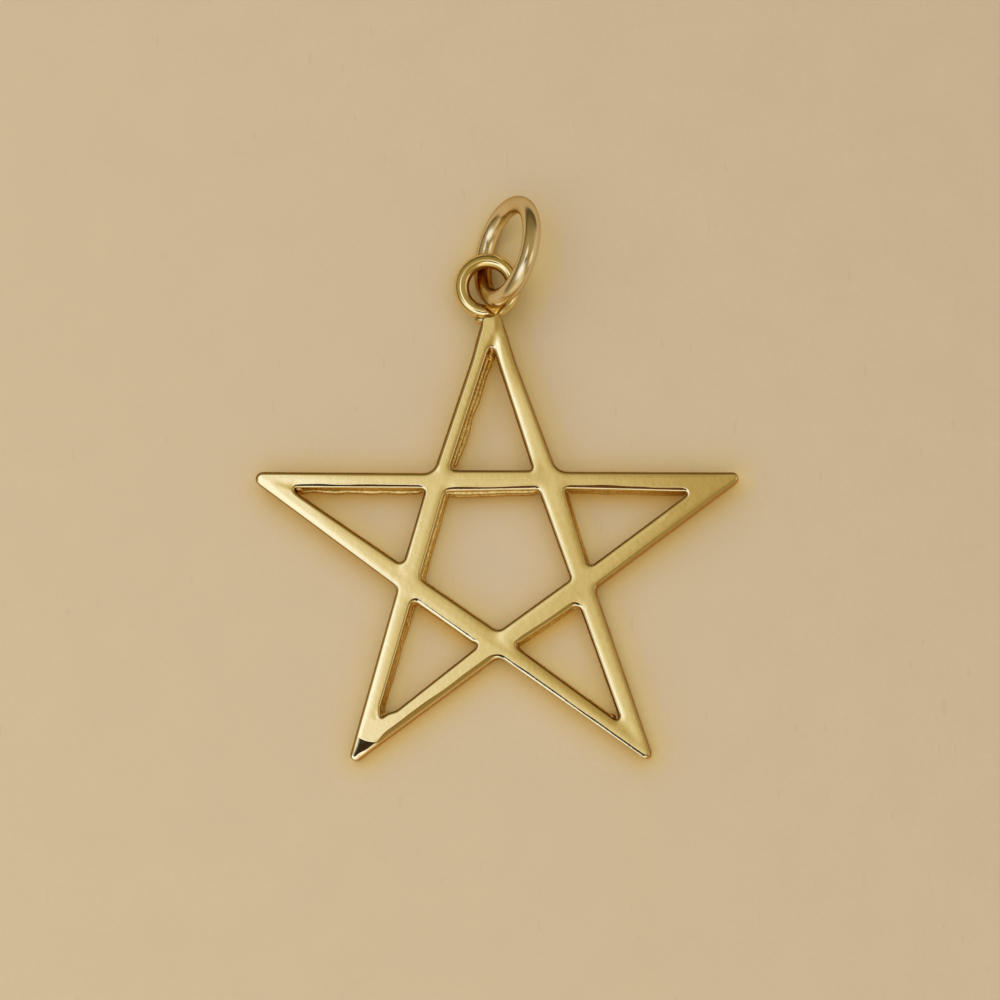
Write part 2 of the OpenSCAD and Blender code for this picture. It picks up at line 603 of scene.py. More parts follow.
@dataclass(frozen=True)
class Gold:
    """Polished gold, with rough cast metal, and painted shade that deepens its tone where its marks say so.

    Attributes:
        name: The material's name.
        colour: Its polished colour.
        roughness: Its polished roughness.
        cast_colour: Colour of cast or soldered metal.
        cast_roughness: Roughness of cast or soldered metal.
        painted_shade_colour: Colour of the painted shade, a darker gold that stands in for dark reflections
            and shade at edges, on walls and under wires.
        slant: Tint of the gold where it is seen at a slant.
        mottle: How much the polished colour varies.
        satin_um: Height of the soft waves in the polish.
        pits_um: Height of the polish's fine pits.
        cast_um: Height of the cast metal's grain.
        grains: Features in a metre of the colour's clouds, of the waves and of the pits.
        pitted: Values of the pits between which cast metal goes from deep to full colour.
        pit_tone: How deep it is in its pits.
        painted_shade_shares: Least share of the painted shade's colour at edges, and what the waves add to
            it.
        rough_shares: Least share of the roughness, and what the clouds add to it.
    """

    name: str
    colour: Triple
    roughness: float
    cast_colour: Triple
    cast_roughness: float
    painted_shade_colour: Triple = (0.40, 0.21, 0.05)
    slant: Triple = (0.80, 0.50, 0.18)
    mottle: float = 0.04
    satin_um: float = 2.2
    pits_um: float = 0.6
    cast_um: float = 55.0
    grains: Triple = (900.0, 2600.0, 7000.0)
    pitted: Pair = (0.40, 0.58)
    pit_tone: float = 0.7
    painted_shade_shares: Pair = (0.7, 0.6)
    rough_shares: Pair = (0.8, 0.4)

    def material(self) -> bpy.types.Material:
        """The finish as a material.

        Returns:
            The material.
        """
        made = bpy.data.materials.new(self.name)
        tree = Tree(made)
        where = tree.node("ShaderNodeTexCoord", output="Object")
        cast, edge = tree.mark(Mark.CAST), tree.mark(Mark.PAINTED_SHADE)
        cloud, satin, pits = (tree.noise(where, scale, 3.0) for scale in self.grains)
        dark, light = (self.toned(self.colour, 1.0 + part) for part in (-self.mottle, self.mottle))
        deep, full = (self.toned(self.cast_colour, part) for part in (self.pit_tone, 1.0))
        rough_metal = tree.mixed(pits.step(*self.pitted), deep, full)
        colour = tree.mixed(cast, tree.mixed(cloud, dark, light), rough_metal)
        rougher = (self.cast_roughness - self.roughness) * cast
        # Painted shade: the mark darkens the gold towards painted_shade_colour
        shade_amount = self.painted_shade_shares[0] + self.painted_shade_shares[1] * satin
        roughen = self.rough_shares[0] + self.rough_shares[1] * cloud
        tree.finish({
            "Base Color": tree.mixed(edge * shade_amount, colour, rgba(self.painted_shade_colour)),
            "Metallic": 1.0,
            "Specular Tint": rgba(self.slant),
            "Roughness": self.roughness * roughen + rougher,
        }, satin * self.satin_um + pits * (self.pits_um + cast * self.cast_um), MICRON)
        return made

    @staticmethod
    def toned(colour: Sequence[float], share: float) -> tuple[float, ...]:
        """A colour made lighter or darker."""
        return rgba(min(1.0, part * share) for part in colour)


@dataclass(frozen=True)
class Paper:
    """Warm cream paper with a fine soft grain, and the warm glow of the gold's walls painted on it.

    Attributes:
        name: The material's name.
        colour: Its colour, which the mesh's glow is multiplied by.
        roughness: Its roughness.
        painted_falloff: Painted fall-off of the light, how much darker it gets in a metre to the right and
            up.
        painted_falloff_most: The most that the painted fall-off makes it darker or lighter by.
        tone: Its mean tone.
        clouds: Features in a metre of its clouds, and how much they lighten it.
        grain: The same of its grain.
        fibres: The same of its fibres, which darken it.
        fibre_from: Values of their noise between which a fibre starts.
        fibre_turn: How far they are turned, in radians.
        fibre_thin: Their noise's scale along them.
        shine: How much it mirrors.
        bump_um: Height of its grain and fibres.
    """

    name: str = "cream_paper"
    colour: Triple = (0.66, 0.557, 0.394)
    roughness: float = 0.85
    painted_falloff: Pair = (1.5, 0.9)
    painted_falloff_most: float = 0.07
    tone: float = 0.94
    clouds: Pair = (300.0, 0.06)
    grain: Pair = (3500.0, 0.06)
    fibres: Pair = (2400.0, 0.05)
    fibre_from: Pair = (0.72, 0.80)
    fibre_turn: float = 0.6
    fibre_thin: float = 0.22
    shine: float = 0.2
    bump_um: float = 5.0

    def material(self) -> bpy.types.Material:
        """The finish as a material.

        Returns:
            The material.
        """
        made = bpy.data.materials.new(self.name)
        tree = Tree(made)
        where = tree.node("ShaderNodeTexCoord", output="Object")
        cloud, grain = tree.noise(where, self.clouds[0], 4.0), tree.noise(where, self.grain[0], 3.0)
        lengthened = tree.node("ShaderNodeMapping", {}, {
            "Vector": where, "Rotation": (0.0, 0.0, self.fibre_turn), "Scale": (1.0, self.fibre_thin, 1.0),
        })
        fibre = tree.noise(lengthened, self.fibres[0], 1.0).step(*self.fibre_from)
        across, up, _ = tree.parts(where)
        # Painted fall-off of the light: darker to the right and up
        painted_falloff = across * self.painted_falloff[0] + up * self.painted_falloff[1]
        painted_falloff = painted_falloff.joined("MINIMUM", self.painted_falloff_most).joined("MAXIMUM", -self.painted_falloff_most)
        tone = self.tone + cloud * self.clouds[1] + grain * self.grain[1] - fibre * self.fibres[1] - painted_falloff
        grey = tree.node("ShaderNodeCombineXYZ", {}, (tone, tone, tone))
        # Painted light: the mesh's glow multiplies the paper's colour
        colour = tree.mixed(1.0, tree.mark(Mark.GLOW, "Color"), rgba(self.colour), "MULTIPLY")
        tree.finish({
            "Base Color": tree.mixed(1.0, colour, grey, "MULTIPLY"),
            "Roughness": self.roughness,
            "Specular IOR Level": self.shine,
        }, grain + fibre, self.bump_um * MICRON)
        return made


YELLOW_GOLD = Gold("yellow_gold", (0.93, 0.78, 0.42), 0.08, (1.00, 0.79, 0.33), 0.28)
CAST_GOLD = Gold("cast_gold", (0.95, 0.78, 0.40), 0.16, (0.98, 0.78, 0.38), 0.25, cast_um=25.0)
LOOP_GOLD = Gold("loop_gold", (0.93, 0.76, 0.36), 0.09, (0.95, 0.64, 0.17), 0.16, cast_um=12.0)
# The pale gold's (0.40, 0.19, 0.05) is its painted shade colour
PALE_GOLD = Gold("pale_gold", (0.88, 0.745, 0.46), 0.20, (0.85, 0.68, 0.42), 0.35, (0.40, 0.19, 0.05),
                 (0.62, 0.44, 0.28), cast_um=6.0)


@dataclass
class Outline:
    """One closed outline of the star, with the metal on its right.

    Attributes:
        places: Even places along it, in flat millimetres.
        inward: Unit directions into the metal.
        room: How far a wall may lean out over an opening's corner.
        spacing: Distance between two places.
        opening: Whether it goes round an opening.
        reach: How deep the edge's profile goes into the metal.
        flat: Width of the edge's filed flat.
        round: Radius beyond the flat.
        deep: How much painted shade darkens the edge, from 0 to 1.
        swell: How far the edge stands out from the outline.
    """

    places: Array
    inward: Array
    room: Array
    spacing: float
    opening: bool
    reach: Array = field(default_factory=empty)
    flat: Array = field(default_factory=empty)
    round: Array = field(default_factory=empty)
    deep: Array = field(default_factory=empty)
    swell: Array = field(default_factory=empty)

    @classmethod
    def along(cls, line: Array, spacing: float, blur: float, opening: bool) -> "Outline":
        """Even out and blur a line, and work out its directions and its tight corners.

        The inward direction is the tangent turned right. The turn of the tangent in a
        millimetre is one over the corner's radius, and a wall has room for a share of that.

        Args:
            line: Closed line of flat places.
            spacing: Distance between places.
            blur: Width of the blur along the line.
            opening: Whether it goes round an opening.

        Returns:
            The outline.
        """
        room_share = 0.6
        places = around_blur(resampled(line, spacing), spacing, blur)
        tangent = np.roll(places, -1, axis=0) - np.roll(places, 1, axis=0)
        tangent /= np.linalg.norm(tangent, axis=1, keepdims=True)
        inward = np.stack([tangent[:, 1], -tangent[:, 0]], axis=1)
        ahead = np.roll(tangent, -1, axis=0)
        turn = np.arcsin(np.clip(tangent[:, 0] * ahead[:, 1] - tangent[:, 1] * ahead[:, 0], -1, 1))
        return cls(places, inward, room_share * spacing / np.maximum(turn, 1e-4), spacing, opening)

    def blurred(self, values: Array, blur: float) -> Array:
        """Values of its places, blurred along it."""
        return around_blur(values, self.spacing, blur)

    def take_reach(self, edge: Array, most: Array) -> None:
        """Work out how deep the edge's profile may go.

        A circle in the metal that touches the outline at P and passes through Q has the
        radius |Q - P| squared / (2 (Q - P) . inward). The least radius over all Q is half the
        bar's width there, or a corner's radius, and a share of it is free for the profile.

        Args:
            edge: Places of all outlines.
            most: Depth of the profile where there is room.
        """
        free_share, most_share, endless, blur = 0.85, 0.92, 99.0, 0.12
        off = edge[None] - self.places[:, None]
        ahead = (off * self.inward[:, None]).sum(axis=2)
        far = (off ** 2).sum(axis=2)
        radius = np.where(ahead > 1e-6, far / np.maximum(2.0 * ahead, 1e-9), endless).min(axis=1)
        free = np.minimum(free_share * radius, most)
        free = np.min([np.roll(free, step) for step in range(-2, 3)], axis=0)
        self.reach = np.minimum(self.blurred(free, blur), most_share * radius)


# Shares of a bar's way at which its lean is given
STATIONS = (0.0, 0.19, 0.382, 0.5, 0.618, 0.81, 1.0)


@dataclass(frozen=True)
class Bar:
    """One straight bar, between two of the star's points, and how its filed face leans.

    Attributes:
        start: Number of the point where it starts, clockwise from the top.
        end: Number of the point where it ends.
        lean: Degrees that the face leans to the right of the way from start to end, at the
            start, in the first arm, at the first crossing, in the middle, at the second
            crossing, in the second arm and at the end.
    """

    start: int
    end: int
    lean: tuple[float, ...]

    def height(self, places: Array, points: Array) -> tuple[Array, Array]:
        """What this bar adds to the face's height, and how much it has to say there.

        With x as the way from the bar's middle line to the right, the height is
        -x tan(lean), and the say is 1 / (x to the fourth + least).

        Args:
            places: Flat places on the face.
            points: The star's five points.

        Returns:
            Heights and weights.
        """
        way = points[self.end] - points[self.start]
        long = np.linalg.norm(way)
        way = way / long
        off = places - points[self.start]
        beside = off[..., 0] * way[1] - off[..., 1] * way[0]
        lean = np.interp(off @ way, np.array(STATIONS) * long, np.radians(self.lean))
        least = 0.02
        return -np.tan(lean) * beside, 1.0 / (beside ** 4 + least)


BARS = (
    Bar(4, 1, (3.0, -0.4, -0.8, 0.3, 0.3, -0.2, -5.0)),
    Bar(4, 2, (2.2, -0.2, -0.6, -0.6, -1.5, -0.9, -0.9)),
    Bar(3, 1, (1.5, 1.0, 0.3, 0.0, 0.3, 0.0, 2.8)),
    Bar(3, 0, (0.0, 0.0, 0.5, 0.5, 0.7, 2.3, 3.7)),
    Bar(0, 2, (-1.8, 0.9, 0.6, 0.3, 0.1, 0.5, 0.8)),
)


@dataclass(frozen=True)
class Facet:
    """A small flat that was filed on a point: it falls from a straight crease.

    Attributes:
        crease: A flat place on the crease.
        fall: Flat direction in which it falls.
        slope: Its slope in degrees.
        reach: How far round the crease's place the face is finely divided.
        wide: Distance from it within which the facet lies.
    """

    crease: Pair = (-6.87, -13.97)
    fall: Pair = (-0.30, -0.954)
    slope: float = 7.4
    reach: float = 1.1
    wide: float = 3.3

    def far(self, places: Array) -> Array:
        """Distance of flat places from the crease's place."""
        return np.linalg.norm(places - np.array(self.crease), axis=-1)

    def around(self, places: Array) -> Array:
        """Whether flat places are in the square round the crease that is finely divided."""
        return np.abs(places - np.array(self.crease)).max(axis=1) < self.reach

    def drop(self, places: Array) -> Array:
        """How far the facet lies below the face at flat places, at least nothing.

        Args:
            places: Flat places.

        Returns:
            One depth for each place.
        """
        past = (places - np.array(self.crease)) @ np.array(self.fall)
        slope = math.tan(math.radians(self.slope))
        return np.maximum(past, 0.0) * slope * (self.far(places) < self.wide)


@dataclass(frozen=True)
class Rim:
    """How an edge of the face is finished.

    Attributes:
        flat: Width of its filed flat, in millimetres.
        round: Radius beyond the flat, in millimetres.
        deep: How much painted shade darkens it, from 0 to 1.
        swell: How far the whole edge stands out from the outline, in millimetres.
    """

    flat: float
    round: float
    deep: float
    swell: float = 0.0


# Edges of openings that face down the star, to its right, and the others; deep is painted shade
DOWN_RIM = Rim(0.14, 0.09, 0.0, 0.10)
RIGHT_RIM = Rim(0.03, 0.13, 0.6, 0.03)
SIDE_RIM = Rim(0.02, 0.17, 0.9)
# Outer edges from corner to corner of the outline, clockwise from the top point
OUTER_RIMS = (
    Rim(0.02, 0.17, 0.9),
    Rim(0.02, 0.19, 0.9),
    Rim(0.05, 0.14, 0.6),
    Rim(0.02, 0.16, 0.9),
    Rim(0.13, 0.08, 0.0),
    Rim(0.20, 0.11, 0.20),
    Rim(0.02, 0.16, 0.9),
    Rim(0.04, 0.14, 0.6),
    Rim(0.02, 0.19, 0.9),
    Rim(0.02, 0.24, 1.0),
)


@dataclass(frozen=True)
class Flare:
    """How the cast walls of one opening lean out to the back.

    Attributes:
        down: How far walls lean that face down the star, in millimetres.
        right: How far walls lean that face to its right.
        other: How far the others lean.
        high: Share of the lean that is in the upper ledge.
        low: Share of the lean that is in the lower ledge.
        faces_down: Up parts of the inward direction between which a wall starts to face down.
        faces_right: The same of its left parts, for walls that face right.
    """

    down: float
    right: float
    other: float
    high: float
    low: float
    faces_down: Pair = (0.75, 0.95)
    faces_right: Pair = (0.5, 0.9)

    def reach(self, inward: Array) -> Array:
        """Lean of walls by the direction that they face, which is against inward."""
        down, right = rise(inward[:, 1], *self.faces_down), rise(-inward[:, 0], *self.faces_right)
        return self.other + (self.down - self.other) * down + (self.right - self.other) * right


# Openings in the points, clockwise from the top, and the pentagon
FLARES = (
    Flare(0.12, 0.28, 0.04, 0.30, 0.35),
    Flare(0.12, 0.10, 0.04, 0.15, 0.25),
    Flare(0.10, 0.07, 0.05, 0.20, 0.40),
    Flare(0.07, 0.11, 0.04, 0.30, 0.35),
    Flare(0.22, 0.06, 0.04, 0.05, 0.50),
    Flare(0.20, 0.15, 0.04, 0.50, 0.15),
)


@dataclass
class StarPlate:
    """The star's bars: flat faces with soft shoulders, and cast walls in the openings.

    Sizes are in millimetres, and angles in degrees.
    """

    lie: Lie
    loop_middle: Array
    thick: float
    spacing: float = 0.085
    blur: float = 0.055
    middle_up: float = 10.95
    pentagon_within: float = 2.0
    loop_clear: float = 1.80
    hidden: Pair = (1.90, 2.30)
    end_blur: float = 0.06
    end_swell: float = 0.10
    end_fade: Pair = (2.2, 4.5)
    full_corner: Pair = (-6.03, -12.95)
    corner_fill: float = 0.19
    corner_fade: Pair = (0.3, 1.0)
    faces_down: Pair = (0.45, 0.75)
    faces_right: Pair = (0.6, 0.85)
    rim_blur: float = 0.12
    crown: float = 7.0
    crown_left: float = 2.0
    crown_wide: float = 0.42
    flat_slope: float = 7.5
    flat_waver: float = 0.35
    waver_blur: float = 0.5
    facet_fade: Pair = (0.5, 0.8)
    crease: float = 0.012
    back_round: float = 0.10
    rough: float = 0.03
    rough_blur: float = 0.06
    outer_rough: float = 0.2
    outer_cast: float = 0.35
    round_cast: float = 0.3
    cast_turn: Pair = (0.8, 1.5)
    # Painted shade on the rounded edges by their turn, on the walls and on the back's rounding
    shade_turn: Pair = (0.25, 0.8)
    wall_shade: float = 0.22
    back_shade: float = 0.3
    ledges: Pair = (0.24, 0.62)
    ledge_tall: float = 0.045
    ledge_waver: float = 0.3
    ledge_blur: float = 0.3
    lean_blur: float = 0.15
    flat_rows: int = 3
    round_rows: int = 9
    wall_rows: tuple[int, ...] = (3, 4, 5, 4, 5)
    back_rows: int = 4
    fill_spacing: float = 0.11
    fill_gap: float = 0.06
    facet_spacing: float = 0.04
    back_spacing: float = 0.4
    seed: int = 11
    facet: Facet = Facet()
    outlines: list[Outline] = field(default_factory=list)
    points: Array = field(default_factory=empty)
    edge: Array = field(default_factory=empty)

    def take_outlines(self, lines: Sequence[Array]) -> None:
        """Read the outlines, clear the loop's wire, and find the star's five points.

        Args:
            lines: Closed lines of flat places, the outer one first.
        """
        for number, line in enumerate(lines):
            line = resampled(line, self.spacing)
            off = line - self.loop_middle
            far = np.linalg.norm(off, axis=1, keepdims=True)
            line = self.loop_middle + off * np.maximum(1.0, self.loop_clear / far)
            hidden = 1.0 - rise(far, *self.hidden)
            line = line + hidden * (around_blur(line, self.spacing, self.end_blur) - line)
            self.outlines.append(Outline.along(line, self.spacing, self.blur, number > 0))
        places = np.vstack([outline.places for outline in self.outlines])
        inward = np.vstack([outline.inward for outline in self.outlines])
        self.edge = np.column_stack([places, inward[:, 0]])
        for outline in self.outlines:
            self.finish_rim(outline)
            outline.take_reach(places, outline.round + outline.flat + self.crease)
        outer = self.outlines[0].places
        turn = TURN / 4.0 - FIFTH * np.arange(5)
        reach = (outer - self.middle()) @ np.stack([np.cos(turn), np.sin(turn)])
        self.points = outer[reach.argmax(axis=0)]

    def middle(self) -> Array:
        """The star's middle, by its lowest edge."""
        return np.array([0.0, self.outlines[0].places[:, 1].min() + self.middle_up])

    def finish_rim(self, outline: Outline) -> None:
        """Give each place of an outline its flat, radius, depth of painted shade and swell.

        An opening's edge is finished by whether it faces down the star or to its right. The
        outer edge is finished by the tenth of the turn round the star's middle that the place
        lies in. The flat's width wavers with seeded noise, and is small beside the facet.

        Args:
            outline: The outline.
        """
        if outline.opening:
            down = rise(outline.inward[:, 1], *self.faces_down)[:, None]
            right = rise(-outline.inward[:, 0], *self.faces_right)[:, None] * (1.0 - down)
            rims = np.array([astuple(rim) for rim in (SIDE_RIM, DOWN_RIM, RIGHT_RIM)])
            sizes = rims[0] + (rims[1] - rims[0]) * down + (rims[2] - rims[0]) * right
        else:
            off = outline.places - self.middle()
            tenth = (TURN / 4.0 - np.arctan2(off[:, 1], off[:, 0])) / (FIFTH / 2.0)
            rims = np.array([astuple(rim) for rim in OUTER_RIMS])
            sizes = rims[np.floor(tenth).astype(int) % len(rims)]
        flat, outline.round, outline.deep, swell = outline.blurred(sizes, self.rim_blur).T
        chance = np.random.default_rng(self.seed + len(outline.places))
        waver = outline.blurred(chance.standard_normal(len(sizes)), self.waver_blur)
        filed = 1.0 - 0.8 * close_to(outline.places, self.facet.crease, *self.facet_fade)
        outline.flat = flat * (1.0 + self.flat_waver * waver / np.abs(waver).max()) * filed
        filled = self.corner_fill * close_to(outline.places, self.full_corner, *self.corner_fade)
        outline.swell = np.minimum(np.maximum(swell, filled), outline.room)
        if not outline.opening:
            outline.swell = self.end_swell * close_to(outline.places, self.loop_middle, *self.end_fade)

    def face_height(self, places: Array, depth: Array) -> Array:
        """Height of the face above the back, domed at the edges and leaning by the bars.

        At a depth d from the edge the dome has dropped by (crown_wide - d) squared over
        2 crown, and by nothing where d is larger than crown_wide. The crown is smaller beside
        edges that face left.

        Args:
            places: Flat places.
            depth: Their distances from the edge.

        Returns:
            Heights.
        """
        found = [bar.height(places, self.points) for bar in BARS]
        say = sum(weight for _, weight in found)
        left = left_facing(places.reshape(-1, 2), self.edge).reshape(places.shape[:-1])
        dome = np.maximum(self.crown_wide - depth, 0.0) ** 2 / (2.0 * (self.crown - self.crown_left * left))
        face = self.thick - dome + sum(height * weight for height, weight in found) / say
        return np.minimum(face - self.facet.drop(places), self.thick)

    def lean_out(self, outline: Outline, share: Array, chance: np.random.Generator) -> Array:
        """How far the wall on an outline leans out, less in tight corners.

        Args:
            outline: The outline.
            share: How far down the wall each row is, from 0 to 1.
            chance: Source of the lean's waver.

        Returns:
            The lean of each row at each place.
        """
        if not outline.opening:
            return share * np.zeros((1, len(outline.places)))
        off = outline.places.mean(axis=0) - self.points.mean(axis=0)
        fifth = round((TURN / 4.0 - math.atan2(off[1], off[0])) / FIFTH) % 5
        flare = FLARES[fifth if np.linalg.norm(off) > self.pentagon_within else 5]
        high, low = (np.clip((share - at) / self.ledge_tall, 0.0, 1.0) for at in self.ledges)
        step = flare.high * high + flare.low * low + (1.0 - flare.high - flare.low) * share
        waver = 1.0 + self.ledge_waver * self.noise_grid(1, outline, self.ledge_blur, chance)
        reach = outline.blurred(flare.reach(outline.inward), self.lean_blur)
        return step * np.minimum(reach * waver, outline.room)

    def noise_grid(self, rows: int, outline: Outline, blur: float, chance: np.random.Generator) -> Array:
        """Seeded noise on a wall's rows, blurred along and down it, from -1 to 1.

        Args:
            rows: Number of rows.
            outline: The wall's outline.
            blur: Width of the blur along the outline, in millimetres.
            chance: Source of the noise.

        Returns:
            One value for each row and place.
        """
        fine = outline.blurred(chance.standard_normal((len(outline.places), rows)), blur)
        fine = (fine + np.roll(fine, 1, axis=1) + np.roll(fine, -1, axis=1)) / 3.0
        return (fine / np.abs(fine).max()).T

    def down_shares(self) -> Array:
        """How far down the wall its rows are, from 0 to 1, with rows of their own on the ledges.

        Returns:
            The shares, in a column.
        """
        stops = (0.0, *(at + tall for at in self.ledges for tall in (0.0, self.ledge_tall)), 1.0)
        spans = zip(stops, stops[1:], self.wall_rows)
        rows = [np.linspace(start, end, count, endpoint=False) for start, end, count in spans]
        return np.concatenate(rows)[1:, None]

    def add_wall(self, surface: Surface, outline: Outline, chance: np.random.Generator) -> Array:
        """Sweep the edge's profile along one outline.

        From the face to the back the profile is a crease, a filed flat, the rest of a quarter
        circle, the wall, and a quarter circle at the back. All of it narrows with the metal.
        The wall of an opening leans out with two wavering ledges, as it was cast.

        Args:
            surface: What takes the vertices and faces.
            outline: The outline.
            chance: Source of the wall's roughness.

        Returns:
            Vertex numbers of the rows.
        """
        slope = math.radians(self.flat_slope)
        across = np.linspace(0.0, 1.0, self.flat_rows)[:, None]
        turn = np.linspace(slope, TURN / 4.0, self.round_rows)[1:, None]
        share = self.down_shares()
        back_turn = np.linspace(0.0, TURN / 4.0, self.back_rows)[:, None]
        fit = np.minimum(1.0, outline.reach / (outline.round + outline.flat + self.crease))[None]
        bend, flat_width, level = outline.round * fit, outline.flat * fit, np.zeros_like(fit)
        start = bend * (1.0 - math.sin(slope))
        top_depth = np.vstack([
            start + flat_width + self.crease * fit,
            start + flat_width * (1.0 - across),
            bend * (1.0 - np.sin(turn)),
        ])
        top_drop = np.vstack([
            level,
            flat_width * math.tan(slope) * across,
            flat_width * math.tan(slope) + bend * (math.cos(slope) - np.cos(turn)),
        ])
        depth = np.vstack([top_depth, share * level, self.back_round * (1.0 - np.cos(back_turn)) + level])
        down_wall = np.vstack([np.zeros((len(top_depth), 1)), share, np.ones_like(back_turn)])
        amount = self.rough * (1.0 if outline.opening else self.outer_rough)
        rough = self.noise_grid(len(depth), outline, self.rough_blur, chance)
        rough = rough * np.sqrt(np.sin(TURN / 2.0 * down_wall)) * amount
        inset = depth - self.lean_out(outline, down_wall, chance) + rough - outline.swell
        flat = outline.places[None] + inset[..., None] * outline.inward[None]
        top = self.face_height(flat[:len(top_depth)], top_depth) - top_drop
        wall_height = top[-1:] + (self.back_round - top[-1:]) * share
        back_height = self.back_round * (1.0 - np.sin(back_turn)) + level
        places = self.lie.placed(np.dstack([flat, np.vstack([top, wall_height, back_height])]))
        ledge = sum((share >= at) & (share <= at + self.ledge_tall + 1e-6) for at in self.ledges)
        plain = np.zeros((1 + len(across), 1))
        bent = self.round_cast * rise(turn, *self.cast_turn)
        cast = np.vstack([plain, bent, np.ones_like(share), np.ones_like(back_turn)])
        # Painted shade: darker gold on the rounded edges, on the walls except their ledges, and on the
        # back's rounding
        tone = np.vstack([
            plain + level,
            outline.deep * rise(turn, *self.shade_turn),
            self.wall_shade * (1.0 - ledge * outline.opening) + level,
            self.back_shade + level + 0.0 * back_turn,
        ])
        numbers = surface.add_places(places, cast * (1.0 if outline.opening else self.outer_cast), tone)
        surface.add_grid(numbers[::-1])
        return numbers

    def add_face(self, surface: Surface, rings: Sequence[Array], numbers: Sequence[Array],
                 spacing: float, front: bool) -> None:
        """Fill the face or the back between rings of vertices.

        New vertices stand on a grid of triangles, and a Delaunay net joins them to the rings.

        Args:
            surface: What takes the vertices and faces.
            rings: Flat places of the rings.
            numbers: Their vertex numbers.
            spacing: Distance between new vertices.
            front: Whether it is the front face.
        """
        edge = np.vstack(rings)
        grid = triangle_grid(edge.min(axis=0), edge.max(axis=0), spacing)
        if front:
            corner = np.array(self.facet.crease)
            fine = triangle_grid(corner - self.facet.reach, corner + self.facet.reach, self.facet_spacing)
            grid = np.vstack([grid[~self.facet.around(grid)], fine])
        grid = grid[inside(grid, rings)]
        least = np.where(self.facet.around(grid) & front, self.facet_spacing, self.fill_gap)
        grid = grid[nearest(grid, edge) > least]
        height = np.zeros(len(grid))
        if front:
            height = self.face_height(grid, from_edge(grid, [outline.places for outline in self.outlines]))
        new = surface.add_places(self.lie.placed(np.column_stack([grid, height])))
        known = np.concatenate([*numbers, new])
        orders = np.split(np.arange(len(edge)), np.cumsum([len(ring) for ring in rings])[:-1])
        links = np.stack(edges_of([order[:, None] for order in orders]), axis=-1).reshape(-1, 2)
        flat = np.vstack([edge, grid])
        net = delaunay_2d_cdt([Vector(place) for place in flat.tolist()], links.tolist(), [], 0, 1e-7)
        triangles = np.array([came[0] for came in net[3]])[np.array(net[2])]
        triangles = triangles[inside(flat[triangles].mean(axis=1), rings)]
        surface.faces.append(known[triangles if front else triangles[:, ::-1]])

    def build(self, material: bpy.types.Material) -> bpy.types.Object:
        """Make the piece: a wall on each outline, then the face and the back.

        Args:
            material: The piece's finish.

        Returns:
            The piece.
        """
        surface = Surface()
        chance = np.random.default_rng(self.seed)
        walls = [self.add_wall(surface, outline, chance) for outline in self.outlines]
        flat = self.lie.flat(np.vstack(surface.places))
        for row, spacing, front in ((0, self.fill_spacing, True), (-1, self.back_spacing, False)):
            numbers = [wall[row] for wall in walls]
            self.add_face(surface, [flat[ring][:, :2] for ring in numbers], numbers, spacing, front)
        return surface.made("star_bars", material)


@dataclass
class HangLoop:
    """Round wire bent to a loop, with solder low in the V between its ends.

    Sizes are in millimetres.
    """

    lie: Lie
    middle: Array
    level: float
    left: float = 0.413
    reach: float = 1.4
    wire: float = 0.8
    vee_depth: float = 0.40
    vee: tuple[Pair, ...] = ((0.0, 0.0), (-0.5, -0.94), (0.46, -1.74), (1.1, -0.94))
    vee_soft: float = 0.14
    solder_share: float = 0.25
    under_shade: float = 0.6
    under_soft: float = 0.35
    rows: int = 480
    sides: int = 72

    @classmethod
    def at_top(cls, lie: Lie, top: float, level: float) -> "HangLoop":
        """Place it with its wire's far side at the star's highest edge."""
        return cls(lie, np.array([-cls.left, top - cls.reach - cls.wire / 2.0]), level)

    def middle_line(self, count: int) -> Array:
        """Flat places round the middle of its wire."""
        turn = full_turn(count)[:, None]
        return self.middle + np.hstack([np.cos(turn), np.sin(turn)]) * self.reach

    def vee_reach(self, off: Array) -> Array:
        """How far places, from the loop's middle, lie inside the V; negative outside.

        Args:
            off: Flat places from the loop's middle.

        Returns:
            One distance for each place.
        """
        corners = np.array(self.vee)
        edges = np.roll(corners, -1, axis=0) - corners
        edges /= np.linalg.norm(edges, axis=1, keepdims=True)
        gone = off[..., None, :] - corners
        return (edges[:, 0] * gone[..., 1] - edges[:, 1] * gone[..., 0]).min(axis=-1)

    def build(self, material: bpy.types.Material) -> bpy.types.Object:
        """Make the piece: a ring surface whose top is lowered to the solder inside the V.

        Args:
            material: The piece's finish.

        Returns:
            The piece.
        """
        turn, side = full_turn(self.rows)[:, None], full_turn(self.sides)[None]
        radius = self.wire / 2.0
        out = self.reach + radius * np.cos(side)
        off = np.stack([out * np.cos(turn), out * np.sin(turn)], axis=-1)
        depth = self.vee_reach(off)
        ceiling = radius - self.vee_depth * rise(depth, -self.vee_soft / 2.0, self.vee_soft)
        height = radius * np.sin(side) + 0.0 * turn
        height = np.where(height > ceiling, ceiling + self.solder_share * (height - ceiling), height)
        solder = rise(depth, 0.0, self.vee_soft)
        # Painted shade: the wire's underside is painted darker
        under = rise(-np.sin(side), -self.under_soft, self.under_soft) * self.under_shade
        surface = Surface()
        flat = np.dstack([off + self.middle, height + self.level])
        surface.add_grid(surface.add_places(self.lie.placed(flat), solder, under), True, True)
        return surface.made("hang_loop", material)


